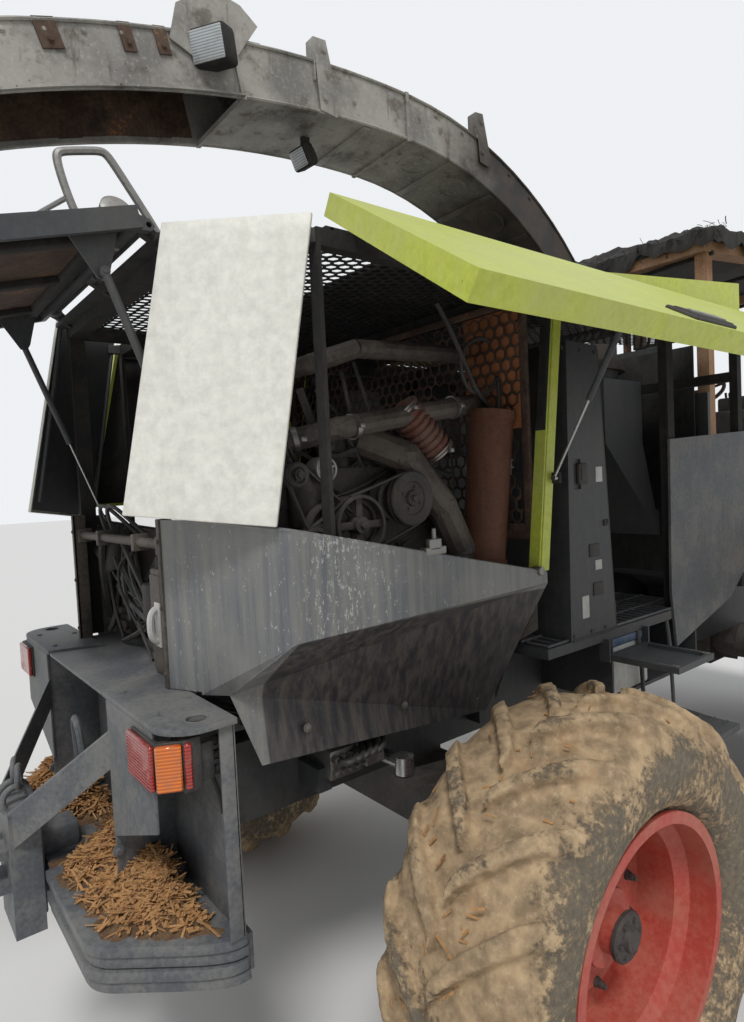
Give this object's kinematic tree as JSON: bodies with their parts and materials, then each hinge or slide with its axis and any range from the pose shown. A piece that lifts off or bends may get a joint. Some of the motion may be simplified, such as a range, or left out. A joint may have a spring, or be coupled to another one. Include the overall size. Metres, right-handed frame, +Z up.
{
  "type": "self-propelled forage harvester",
  "caption": "Burnt-out self-propelled forage harvester with a curved discharge spout, raised side flap and rear hatch, open engine bay, bare cab frame and header intake.",
  "frame": {"origin": "on the ground, at the middle of the bounding box", "axes": "+X to the right side of the machine, +Y in its driving direction, +Z up"},
  "size_m": [3.1955, 7.333, 3.9446],
  "materials": {
    "steel": "burnt, greyed and rusted",
    "rusted": "fire rust",
    "lime_paint": "faded gloss",
    "white_paint": "faded gloss",
    "silver_paint": "scratched",
    "black_paint": "dusty",
    "rim_paint": "faded",
    "tyre": "dusty",
    "lens": "red lens",
    "bright": "rod"
  },
  "bodies": {
    "machine": {"chassis_frame": "steel", "rear_axle": "steel", "front_axle": "steel", "engine_block": "rusted", "engine_pipes": "rusted", "bay_screen": "rusted", "hood_frame": "steel", "hood_side_right": "steel", "hood_side_left": "steel", "hood_cross_bars": "steel", "service_columns": "black_paint", "hood_roof": "rusted", "hood_covers": "lime_paint", "side_bands": "silver_paint", "corner_panels": "white_paint", "platforms": "black_paint", "side_panels": "black_paint", "cab_floor": "rusted", "cab_posts": "rusted", "cab_roof": "black_paint", "chopper_housing": "steel", "rear_deck": "steel", "ballast_plates": "steel", "tow_hitch": "steel", "lamps": "lens", "handrails": "steel", "ladder": "black_paint"},
    "knuckle_right": {"knuckle_right": "steel"},
    "knuckle_left": {"knuckle_left": "steel"},
    "steer_rod": {"steer_rod": "steel"},
    "rear_wheel_right": {"rear_rim_right": "rim_paint", "rear_tyre_right": "tyre"},
    "rear_wheel_left": {"rear_rim_left": "rim_paint", "rear_tyre_left": "tyre"},
    "front_wheel_right": {"front_rim_right": "rim_paint", "front_tyre_right": "tyre"},
    "front_wheel_left": {"front_rim_left": "rim_paint", "front_tyre_left": "tyre"},
    "side_flap_right": {"side_flap_right": "lime_paint"},
    "side_flap_left": {"side_flap_left": "lime_paint"},
    "flap_strut_right": {"flap_strut_right": "black_paint"},
    "flap_rod_right": {"flap_rod_right": "bright"},
    "flap_strut_left": {"flap_strut_left": "black_paint"},
    "flap_rod_left": {"flap_rod_left": "bright"},
    "rear_hatch": {"rear_hatch": "black_paint"},
    "hatch_struts": {"hatch_struts": "black_paint"},
    "hatch_rods": {"hatch_rods": "bright"},
    "toolbox_lid": {"toolbox_lid": "black_paint"},
    "cab_door": {"cab_door": "rusted"},
    "intake": {"intake_housing": "steel"},
    "feed_roll_upper": {"feed_roll_upper": "steel"},
    "feed_roll_lower": {"feed_roll_lower": "steel"},
    "lift_cylinders": {"lift_cylinders": "black_paint"},
    "lift_rods": {"lift_rods": "bright"},
    "spout_turret": {"spout_turret": "steel"},
    "spout": {"spout": "steel", "spout_lamps": "steel"},
    "spout_flap": {"spout_flap": "steel"},
    "spout_cylinder": {"spout_cylinder": "steel"},
    "spout_rod": {"spout_rod": "bright"}
  },
  "joints": [
    {"name": "steer_right", "type": "hinge", "parent": "machine", "child": "knuckle_right", "pos_m": [0.78, -1.03292, 0.73], "axis": [0, 0, 1], "range_deg": [-25, 25]},
    {"name": "steer_left", "type": "hinge", "parent": "machine", "child": "knuckle_left", "pos_m": [-0.78, -1.03292, 0.73], "axis": [0, 0, 1], "range_deg": [-25, 25]},
    {"name": "steer_rod_slide", "type": "slide", "parent": "machine", "child": "steer_rod", "axis": [1, 0, 0], "range_m": [-0.1288, 0.1288]},
    {"name": "rear_wheel_right_spin", "type": "hinge", "parent": "knuckle_right", "child": "rear_wheel_right", "pos_m": [1.2, -1.03292, 0.73], "axis": [1, 0, 0], "continuous": true},
    {"name": "front_wheel_right_spin", "type": "hinge", "parent": "machine", "child": "front_wheel_right", "pos_m": [1.24, 2.01708, 0.92], "axis": [1, 0, 0], "continuous": true},
    {"name": "rear_wheel_left_spin", "type": "hinge", "parent": "knuckle_left", "child": "rear_wheel_left", "pos_m": [-1.2, -1.03292, 0.73], "axis": [1, 0, 0], "continuous": true},
    {"name": "front_wheel_left_spin", "type": "hinge", "parent": "machine", "child": "front_wheel_left", "pos_m": [-1.24, 2.01708, 0.92], "axis": [1, 0, 0], "continuous": true},
    {"name": "side_flap_right_hinge", "type": "hinge", "parent": "machine", "child": "side_flap_right", "pos_m": [0.9, -0.43292, 2.9], "axis": [0, 1, 0], "range_deg": [0, 58]},
    {"name": "flap_strut_right_pin", "type": "hinge", "parent": "side_flap_right", "child": "flap_strut_right", "pos_m": [1.24346, -0.73292, 2.69482], "axis": [0, 1, 0], "range_deg": [-89.92, 0.5]},
    {"name": "flap_rod_right_slide", "type": "slide", "parent": "flap_strut_right", "child": "flap_rod_right", "axis": [-0.5004, 0, -0.8658], "range_m": [-0.2843, 0.002]},
    {"name": "side_flap_left_hinge", "type": "hinge", "parent": "machine", "child": "side_flap_left", "pos_m": [-0.9, -0.43292, 2.9], "axis": [0, 1, 0], "range_deg": [0, 58]},
    {"name": "flap_strut_left_pin", "type": "hinge", "parent": "side_flap_left", "child": "flap_strut_left", "pos_m": [-0.908, -0.73292, 2.5], "axis": [0, 1, 0], "range_deg": [-89.92, 0.5]},
    {"name": "flap_rod_left_slide", "type": "slide", "parent": "flap_strut_left", "child": "flap_rod_left", "axis": [-0.0243, 0, -0.9997], "range_m": [-0.002, 0.2843]},
    {"name": "rear_hatch_hinge", "type": "hinge", "parent": "machine", "child": "rear_hatch", "pos_m": [0, -2.08292, 2.9], "axis": [1, 0, 0], "range_deg": [0, 61]},
    {"name": "hatch_struts_pin", "type": "hinge", "parent": "rear_hatch", "child": "hatch_struts", "pos_m": [0, -2.20292, 2.76], "axis": [1, 0, 0], "range_deg": [-74.94, 0.5]},
    {"name": "hatch_rods_slide", "type": "slide", "parent": "hatch_struts", "child": "hatch_rods", "axis": [0, 0.3511, -0.9363], "range_m": [-0.0785, 0.002]},
    {"name": "toolbox_lid_hinge", "type": "hinge", "parent": "machine", "child": "toolbox_lid", "pos_m": [0.9, -0.23292, 1.373], "axis": [0, -1, 0], "range_deg": [0, 90]},
    {"name": "cab_door_hinge", "type": "hinge", "parent": "machine", "child": "cab_door", "pos_m": [-0.844, 2.00708, 2.4], "axis": [0, 0, 1], "range_deg": [0, 75]},
    {"name": "intake_lift", "type": "hinge", "parent": "machine", "child": "intake", "pos_m": [0, 2.49708, 1.01], "axis": [1, 0, 0], "range_deg": [-8, 24]},
    {"name": "lift_cylinders_pin", "type": "hinge", "parent": "machine", "child": "lift_cylinders", "pos_m": [0, 2.30708, 0.64], "axis": [1, 0, 0], "range_deg": [-6.1, 17.31]},
    {"name": "lift_rods_slide", "type": "slide", "parent": "lift_cylinders", "child": "lift_rods", "axis": [0, 0.9971, 0.0757], "range_m": [-0.0479, 0.1396]},
    {"name": "feed_roll_upper_spin", "type": "hinge", "parent": "intake", "child": "feed_roll_upper", "pos_m": [0, 3.15708, 1.075], "axis": [1, 0, 0], "continuous": true},
    {"name": "feed_roll_lower_spin", "type": "hinge", "parent": "intake", "child": "feed_roll_lower", "pos_m": [0, 3.15708, 0.8], "axis": [1, 0, 0], "continuous": true},
    {"name": "spout_slew", "type": "hinge", "parent": "machine", "child": "spout_turret", "pos_m": [0, 0.76708, 3.01], "axis": [0, 0, 1], "range_deg": [-90, 90]},
    {"name": "spout_lift", "type": "hinge", "parent": "spout_turret", "child": "spout", "pos_m": [0, 0.76708, 3.01], "axis": [-1, 0, 0], "range_deg": [0, 15]},
    {"name": "spout_cylinder_pin", "type": "hinge", "parent": "spout_turret", "child": "spout_cylinder", "pos_m": [0, 0.53708, 2.85], "axis": [1, 0, 0], "range_deg": [-13.27, 0.5]},
    {"name": "spout_rod_slide", "type": "slide", "parent": "spout_cylinder", "child": "spout_rod", "axis": [0, -0.493, 0.87], "range_m": [-0.002, 0.0736]},
    {"name": "spout_flap_hinge", "type": "hinge", "parent": "spout", "child": "spout_flap", "pos_m": [0, -3.38648, 3.0019], "axis": [1, 0, 0], "range_deg": [-8, 36]}
  ],
  "couplings": [
    {"joint": "steer_left", "follows": "steer_right", "ratio": 1},
    {"joint": "steer_rod_slide", "follows": "steer_right", "m_per_rad": 0.29057},
    {"joint": "flap_strut_right_pin", "follows": "side_flap_right_hinge", "ratio": -1.5417},
    {"joint": "flap_rod_right_slide", "follows": "side_flap_right_hinge", "m_per_rad": -0.27884},
    {"joint": "flap_strut_left_pin", "follows": "side_flap_left_hinge", "ratio": -1.5417},
    {"joint": "flap_rod_left_slide", "follows": "side_flap_left_hinge", "m_per_rad": 0.27884},
    {"joint": "hatch_struts_pin", "follows": "rear_hatch_hinge", "ratio": -1.2204},
    {"joint": "hatch_rods_slide", "follows": "rear_hatch_hinge", "m_per_rad": -0.07182},
    {"joint": "lift_cylinders_pin", "follows": "intake_lift", "ratio": 0.7003},
    {"joint": "lift_rods_slide", "follows": "intake_lift", "m_per_rad": 0.32841},
    {"joint": "spout_cylinder_pin", "follows": "spout_lift", "ratio": -0.8515},
    {"joint": "spout_rod_slide", "follows": "spout_lift", "m_per_rad": 0.27365}
  ]
}
